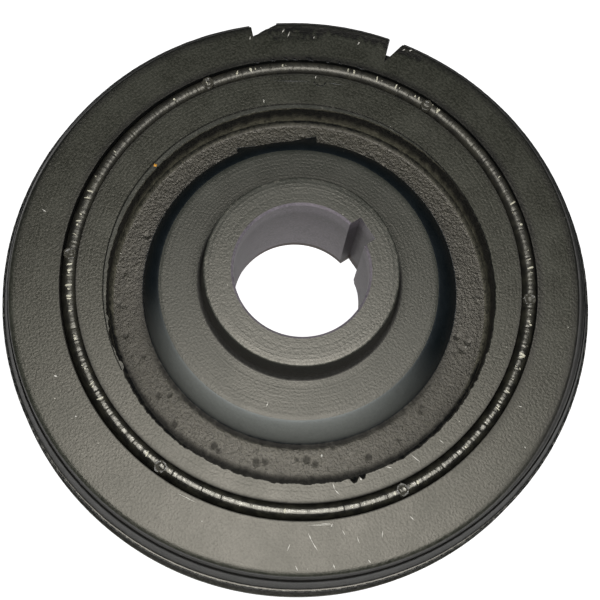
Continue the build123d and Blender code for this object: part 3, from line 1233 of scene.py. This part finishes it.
def beadTree():
    # a grid is rolled round the axis; its short side runs round the section of the rubber
    rows = 44
    # shares of the short side: where the front ends, and between which the back runs
    frontEnd = 0.45
    backStart = 0.5
    backEnd = 0.95
    closing = 0.99
    # the hump's reach in half widths, and how steeply it falls
    humpEnd = 1.4
    humpPower = 2.8
    # noise scales per metre, and a mould mark's edge from flat to full depth
    fineScale = 900.0
    slowScale = 160.0
    markOuter = 0.045
    markInner = 0.012
    tree, given = shapeTree("rubberBead", beadShape)
    count = maths(tree, "ADD", given["Steps"], 1.0)
    values = {"Size X": 1.0, "Size Y": 1.0, "Vertices X": count, "Vertices Y": rows}
    grid = addNode(tree, "GeometryNodeMeshGrid", values)
    place = addNode(tree, "ShaderNodeSeparateXYZ", {0: placeOf(tree)})
    turn = maths(tree, "MULTIPLY", maths(tree, "ADD", place.outputs[0], 0.5), math.tau)
    lap = maths(tree, "DIVIDE", turn, math.tau)
    part = maths(tree, "ADD", place.outputs[1], 0.5)
    forward = mapRange(tree, part, 0.0, frontEnd)
    backward = mapRange(tree, part, backStart, backEnd)
    across = maths(tree, "SUBTRACT", maths(tree, "SUBTRACT", forward, backward), 0.5)
    offset = maths(tree, "MULTIPLY", across, given["Width"])
    crest = crestRadius(tree, given, turn, given["Crest Out"])
    # the hump falls past both edges of the bead into the crevices beside the metal
    fromCrest = maths(tree, "SUBTRACT", offset, crest)
    towards = maths(tree, "MULTIPLY", maths(tree, "SIGN", fromCrest), crest)
    room = maths(tree, "SUBTRACT", maths(tree, "MULTIPLY", given["Width"], 0.5), towards)
    reach = maths(tree, "MINIMUM", given["Bead Half"], room)
    share = maths(tree, "DIVIDE", maths(tree, "ABSOLUTE", fromCrest), reach)
    share = maths(tree, "MINIMUM", share, humpEnd)
    hump = maths(tree, "SUBTRACT", 1.0, maths(tree, "POWER", share, humpPower))
    high = maths(tree, "ADD", given["Crown"], given["Crevice"])
    bulge = maths(tree, "SUBTRACT", maths(tree, "MULTIPLY", hump, high), given["Crevice"])
    frontZ = maths(tree, "ADD", given["Front"], bulge)
    backZ = maths(tree, "SUBTRACT", given["Back"], bulge)
    past = maths(tree, "GREATER_THAN", part, (frontEnd + backStart) / 2)
    behind = maths(tree, "MULTIPLY", past, maths(tree, "LESS_THAN", part, closing))
    span = maths(tree, "MULTIPLY", maths(tree, "SUBTRACT", backZ, frontZ), behind)
    radius = maths(tree, "ADD", given["Middle Radius"], offset)
    rolled = onCircle(tree, radius, turn, maths(tree, "ADD", frontZ, span))
    # waves, mould marks and ripples, strongest on the crest
    cells = addNode(
        tree,
        "ShaderNodeTexVoronoi",
        {"W": lap, "Scale": given["Marks"], "Randomness": 0.7},
        voronoi_dimensions="1D",
    )
    fine = noiseAt(tree, rolled, fineScale, 4.0)
    slow = noiseAt(tree, rolled, slowScale, 2.0)
    ripples = lineNoise(tree, maths(tree, "MULTIPLY", lap, given["Ripples"]))
    mark = softStep(tree, cells.outputs["Distance"], markOuter, markInner)
    lift = maths(
        tree, "ADD", bothWays(tree, fine, given["Unevenness"]), bothWays(tree, slow, given["Waviness"])
    )
    lift = maths(tree, "SUBTRACT", lift, maths(tree, "MULTIPLY", mark, given["Mark Depth"]))
    lift = maths(tree, "ADD", lift, bothWays(tree, ripples, given["Ripple"]))
    shift = vectorOf(tree, z=maths(tree, "MULTIPLY", lift, hump))
    values = {"Geometry": grid.outputs["Mesh"], "Position": rolled, "Offset": shift}
    moved = addNode(tree, "GeometryNodeSetPosition", values)
    values = {"Geometry": moved.outputs[0], "Distance": 0.01 * mm}
    closed = addNode(tree, "GeometryNodeMergeByDistance", values)
    smooth = addNode(tree, "GeometryNodeSetShadeSmooth", {"Geometry": closed.outputs[0]})
    closeTree(tree, given, smooth.outputs[0])
    return tree


bead = bakeTree("rubberBead", beadTree(), beadShape, rubberMat)
smoothByAngle(bead, 50)

stubShape = {
    "Middle Radius": 59.5 * mm,
    "Count": 6,
    "First": math.radians(51.5),
    "Level": (frontLevel - 0.12) * mm,
    "Radius": 1.75 * mm,
    "Height": 0.5 * mm,
    "Seed": 4,
}


def stubTree():
    # torn-off gates: a ragged rim round a shallow hollow
    footDrop = -0.9 * mm
    tearSize = (0.9 * mm, 0.9 * mm, 0.5 * mm)
    tearScale = 1300.0
    tree, given = shapeTree("gateStubs", stubShape)
    values = {"Vertices": 40, "Side Segments": 9, "Fill Segments": 1, "Radius Top": 0.0}
    disc = addNode(tree, "GeometryNodeMeshCone", values | {"Radius Bottom": given["Radius"]})
    flat = flattened(tree, placeOf(tree))
    share = maths(tree, "DIVIDE", vectorMaths(tree, "LENGTH", flat), given["Radius"])
    rise = softStep(tree, share, 0.2, 0.72)
    fall = softStep(tree, share, 1.0, 0.86)
    top = maths(tree, "MULTIPLY", maths(tree, "MULTIPLY", rise, fall), given["Height"])
    foot = maths(tree, "MULTIPLY", softStep(tree, share, 0.9, 1.0), footDrop)
    bowl = vectorMaths(tree, "ADD", flat, vectorOf(tree, z=maths(tree, "ADD", top, foot)))
    values = {"Geometry": disc.outputs["Mesh"], "Position": bowl}
    shaped = addNode(tree, "GeometryNodeSetPosition", values)
    values = {"Resolution": given["Count"], "Radius": given["Middle Radius"]}
    track = addNode(tree, "GeometryNodeCurvePrimitiveCircle", values)
    values = {"Curve": track.outputs[0], "Count": given["Count"]}
    points = addNode(tree, "GeometryNodeCurveToPoints", values)
    spin = randomVector(tree, (0.0, 0.0, 0.0), (0.0, 0.0, 6.28), given["Seed"])
    values = {"Points": points.outputs["Points"], "Instance": shaped.outputs[0], "Rotation": spin}
    placed = addNode(tree, "GeometryNodeInstanceOnPoints", values)
    raiseBy = vectorOf(tree, z=given["Level"])
    turnBy = vectorOf(tree, z=given["First"])
    values = {"Geometry": placed.outputs[0], "Translation": raiseBy, "Rotation": turnBy}
    turned = addNode(tree, "GeometryNodeTransform", values)
    real = addNode(tree, "GeometryNodeRealizeInstances", {"Geometry": turned.outputs[0]})
    values = {"Vector": placeOf(tree), "Scale": tearScale, "Detail": 3.0}
    ragged = addNode(tree, "ShaderNodeTexNoise", values).outputs["Color"]
    tear = vectorMaths(tree, "MULTIPLY", vectorMaths(tree, "SUBTRACT", ragged, (0.5, 0.5, 0.5)), tearSize)
    torn = addNode(tree, "GeometryNodeSetPosition", {"Geometry": real.outputs[0], "Offset": tear})
    closeTree(tree, given, torn.outputs[0])
    return tree


stubs = bakeTree("gateStubs", stubTree(), stubShape, plain["tornRubber"])
smoothByAngle(stubs, 40)

tickShape = {
    "Middle Radius": 59.6 * mm,
    "Crest Shift": beadShape["Crest Shift"],
    "Crest Bearing": beadShape["Crest Bearing"],
    "Level": (frontLevel - 0.05) * mm,
    "Count": 96,
    "Length": 0.75 * mm,
    "Thickness": 0.32 * mm,
    "Height": 0.22 * mm,
    "Lean": 0.45,
    "Seed": 7,
}


def tickTree():
    # short raised marks across the bead where the mould's vents were, coloured pale as painted glints
    leanSeed = 3
    sizeSeed = 11
    smallest = (0.3, 0.4, 0.6)
    largest = (1.2, 1.5, 1.1)
    tree, given = shapeTree("beadTicks", tickShape)
    ball = addNode(tree, "GeometryNodeMeshUVSphere", {"Segments": 12, "Rings": 8, "Radius": 1.0})
    size = vectorOf(tree, given["Length"], given["Thickness"], given["Height"])
    ridge = addNode(tree, "GeometryNodeTransform", {"Geometry": ball.outputs["Mesh"], "Scale": size})
    # random places round the crest, each a little turned
    turn = randomValue(tree, 0.0, math.tau, given["Seed"])
    radius = crestRadius(tree, given, turn, given["Middle Radius"])
    spot = onCircle(tree, radius, turn, given["Level"])
    cloud = addNode(tree, "GeometryNodePoints", {"Count": given["Count"], "Position": spot})
    lean = randomValue(tree, maths(tree, "MULTIPLY", given["Lean"], -1.0), given["Lean"], leanSeed)
    facing = vectorOf(tree, z=maths(tree, "ADD", turn, lean))
    scaleBy = randomVector(tree, smallest, largest, sizeSeed)
    values = {"Points": cloud.outputs[0], "Instance": ridge.outputs[0]}
    values |= {"Rotation": facing, "Scale": scaleBy}
    placed = addNode(tree, "GeometryNodeInstanceOnPoints", values)
    closeTree(tree, given, placed.outputs[0])
    return tree


ticks = bakeTree("beadTicks", tickTree(), tickShape, plain["rubberTick"])
print("rubber made")

markStrokes = {
    # each stroke: bearing and radius of its two ends, width; specks are short strokes
    "ringScratches": [
        (325.6, 72.0, 326.1, 73.3, 0.2), (332.8, 72.0, 333.1, 73.3, 0.2), (339.5, 72.3, 339.9, 73.3, 0.2),
        (323.9, 68.8, 324.4, 67.0, 0.16), (330.0, 68.6, 329.0, 66.5, 0.2), (329.1, 66.7, 328.2, 64.4, 0.18),
        (336.0, 65.8, 335.6, 64.4, 0.17), (338.6, 68.4, 338.4, 66.4, 0.13), (343.4, 68.3, 343.9, 66.8, 0.16),
        (350.9, 67.4, 350.4, 65.8, 0.16), (25.8, 64.9, 25.3, 63.9, 0.16), (328.0, 62.6, 334.0, 62.9, 0.14),
        (331.0, 62.3, 333.5, 62.7, 0.14), (333.2, 63.5, 333.8, 62.5, 0.16), (298.0, 62.7, 303.0, 62.6, 0.12),
        (260.0, 66.9, 260.4, 66.1, 0.3), (270.0, 66.6, 270.2, 66.2, 0.24), (305.4, 66.3, 305.6, 66.0, 0.22),
        (222.3, 69.2, 222.6, 68.0, 0.26), (133.0, 69.4, 133.3, 68.3, 0.22), (149.0, 70.2, 149.6, 68.4, 0.2),
        (150.2, 71.0, 150.8, 69.8, 0.24), (158.0, 69.8, 158.3, 68.6, 0.2), (121.4, 72.2, 121.9, 71.4, 0.3),
        (122.8, 71.6, 123.2, 70.9, 0.22), (143.4, 68.9, 143.6, 68.2, 0.18), (18.6, 71.0, 18.8, 70.6, 0.2),
    ],
    "hubScratches": [
        (336.4, 56.2, 335.3, 54.5, 0.18), (335.4, 54.7, 335.1, 53.0, 0.2), (342.4, 53.2, 342.8, 53.9, 0.3),
        (351.4, 53.7, 350.1, 52.8, 0.2), (358.6, 55.8, 357.6, 53.0, 0.15), (6.4, 55.6, 6.2, 54.0, 0.14),
        (142.4, 57.0, 142.5, 56.1, 0.24), (158.0, 50.6, 158.1, 49.5, 0.24), (312.4, 35.0, 312.8, 33.6, 0.16),
    ],
    "floorSpecks": [
        (334.0, 45.2, 334.2, 44.5, 0.4), (226.2, 48.2, 226.6, 48.0, 0.35), (36.6, 46.9, 36.9, 46.6, 0.35),
    ],
    "brassFleck": [(198.3, 49.2, 198.8, 48.3, 0.75)],
    "coatRuns": [
        (139.4, 55.5, 140.0, 54.4, 0.4), (139.9, 54.5, 141.2, 54.0, 0.45), (141.0, 54.0, 142.4, 54.5, 0.45),
        (142.3, 54.4, 143.0, 55.5, 0.4), (134.0, 55.6, 139.5, 55.3, 0.2), (143.0, 55.3, 155.0, 55.7, 0.2),
    ],
    "rubberFlash": [
        (130.0, 61.4, 132.5, 62.0, 0.5), (135.8, 61.4, 137.5, 62.3, 0.6), (139.0, 61.3, 140.4, 61.9, 0.5),
        (143.0, 61.3, 145.5, 62.5, 0.8), (147.2, 61.4, 149.0, 62.0, 0.5), (149.5, 61.3, 151.0, 62.5, 0.6),
        (152.8, 61.3, 154.6, 62.2, 0.6), (157.0, 61.4, 158.5, 61.9, 0.5),
    ],
}


def addMarks(piece, strokes, level, height, material):
    # each stroke is a thin closed double wedge lying on the surface
    verts = []
    faces = []
    for fromAngle, fromRadius, toAngle, toRadius, width in strokes:
        ends = []
        for bearing, radius in ((fromAngle, fromRadius), (toAngle, toRadius)):
            a = math.radians(bearing)
            ends.append(Vector((radius * math.cos(a), radius * math.sin(a), level)))
        middle = (ends[0] + ends[1]) / 2
        up = Vector((0, 0, height))
        across = (ends[1] - ends[0]).cross(Vector((0, 0, 1))).normalized() * width * 0.7
        first = len(verts)
        waist = [middle + across, middle + up, middle - across, middle - up]
        verts += [v * mm for v in ends + waist]
        for i in range(4):
            here = first + 2 + i
            after = first + 2 + (i + 1) % 4
            faces += [(first, here, after), (first + 1, after, here)]
    extra = bpy.data.meshes.new("marks")
    extra.from_pydata(verts, [], faces)
    piece.data.materials.append(material)
    bm = bmesh.new()
    bm.from_mesh(extra)
    bmesh.ops.recalc_face_normals(bm, faces=bm.faces)
    for face in bm.faces:
        face.material_index = len(piece.data.materials) - 1
    bm.to_mesh(extra)
    bm.clear()
    bm.from_mesh(piece.data)
    bm.from_mesh(extra)
    bm.to_mesh(piece.data)
    bm.free()
    bpy.data.meshes.remove(extra)


floorLevel = frontLevel - hubShape["channelDepth"]
lipLevel = frontLevel - hubShape["lipDepth"]
marks = [
    # piece, strokes, level, height, material
    (ring, "ringScratches", frontLevel, 0.05, "bareMetal"),
    (hub, "hubScratches", frontLevel, 0.05, "bareMetal"),
    (hub, "floorSpecks", floorLevel + 0.1, 0.12, "whiteSpeck"),
    (hub, "brassFleck", lipLevel, 0.2, "brassFleck"),
    (hub, "coatRuns", frontLevel, 0.05, "coatRun"),
    (bead, "rubberFlash", frontLevel, 0.07, "flashRubber"),
]
for piece, strokes, level, height, material in marks:
    addMarks(piece, markStrokes[strokes], level, height, plain[material])
print("marks made")

lightLook = {
    # size and place beside the camera (right, up, behind) in millimetres, and power in watts
    "lamps": {
        "softBox": (280.0, (8.0, -1.0, -60.0), 0.589),
        "smallLamp": (28.0, (10.0, 45.0, 0.0), 0.103),
    },
    "skyDiffuse": 0.12,
    "skyHigh": 0.02,
    "mirrorGlow": 0.07,  # what the object's own reflections see of the white room
    "floorGlow": 0.85,
    "floorShade": (225, 225, 225),
}


def addLamps(v):
    for name, (size, place, power) in v["lamps"].items():
        lampData = bpy.data.lights.new(name, "AREA")
        lampData.shape = "DISK"
        lampData.size = size * mm
        lampData.energy = power
        lamp = addObject(name, lampData)
        lamp.visible_camera = False
        start = cam.matrix_world @ (Vector(place) * mm)
        aim = Vector((0, 0, frontLevel * mm)) - start
        turn = aim.to_track_quat("-Z", "Y").to_matrix().to_4x4()
        lamp.matrix_world = Matrix.Translation(start) @ turn


def rayMasks(tree):
    # rays from the camera, and rays that metal, glass and the coat send out
    path = addNode(tree, "ShaderNodeLightPath").outputs
    mirror = maths(tree, "MAXIMUM", path["Is Glossy Ray"], path["Is Transmission Ray"])
    return path["Is Camera Ray"], mirror


def addWorld(v):
    world = bpy.data.worlds.new("whiteRoom")
    scene.world = world
    world.use_nodes = True
    tree = world.node_tree
    cameraRay, mirrorRay = rayMasks(tree)
    facing = addNode(tree, "ShaderNodeTexCoord").outputs["Generated"]
    height = addNode(tree, "ShaderNodeSeparateXYZ", {0: facing}).outputs[2]
    glossy = mapRange(tree, height, 0.1, 0.5, v["mirrorGlow"], v["skyHigh"])
    level = mixValue(tree, mirrorRay, v["skyDiffuse"], glossy)
    seen = mixValue(tree, cameraRay, level, 1.0)
    tree.links.new(seen, tree.nodes["Background"].inputs["Color"])


def addFloor(v):
    mesh = bpy.data.meshes.new("floor")
    half = 2.0
    corners = [(-half, -half, 0), (half, -half, 0), (half, half, 0), (-half, half, 0)]
    mesh.from_pydata(corners, [], [(0, 1, 2, 3)])
    mat, tree, shader = newMaterial("floorPaper")
    shader.inputs["Base Color"].default_value = rgb(*v["floorShade"])
    shader.inputs["Roughness"].default_value = 0.9
    shader.inputs["Emission Color"].default_value = (1.0, 1.0, 1.0, 1.0)
    cameraRay, mirrorRay = rayMasks(tree)
    inMirror = maths(tree, "MULTIPLY", mirrorRay, v["mirrorGlow"])
    inView = maths(tree, "MULTIPLY", cameraRay, v["floorGlow"])
    tree.links.new(maths(tree, "MAXIMUM", inView, inMirror), shader.inputs["Emission Strength"])
    mesh.materials.append(mat)
    return addObject("floor", mesh)


addLamps(lightLook)
addWorld(lightLook)
floor = addFloor(lightLook)
scene.view_settings.view_transform = "Standard"
print("light and floor made")

finishes = {
    hub: "hub_iron",
    ring: "ring_iron",
    bead: "bonded_rubber",
    stubs: "bonded_rubber",
    ticks: "bonded_rubber",
}
for piece, slot in finishes.items():
    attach(piece, "root")
    mesh = piece.data
    print(piece.name, sum(len(p.vertices) - 2 for p in mesh.polygons))
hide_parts("hub")
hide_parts("inertia_ring")
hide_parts("rubber_ring")
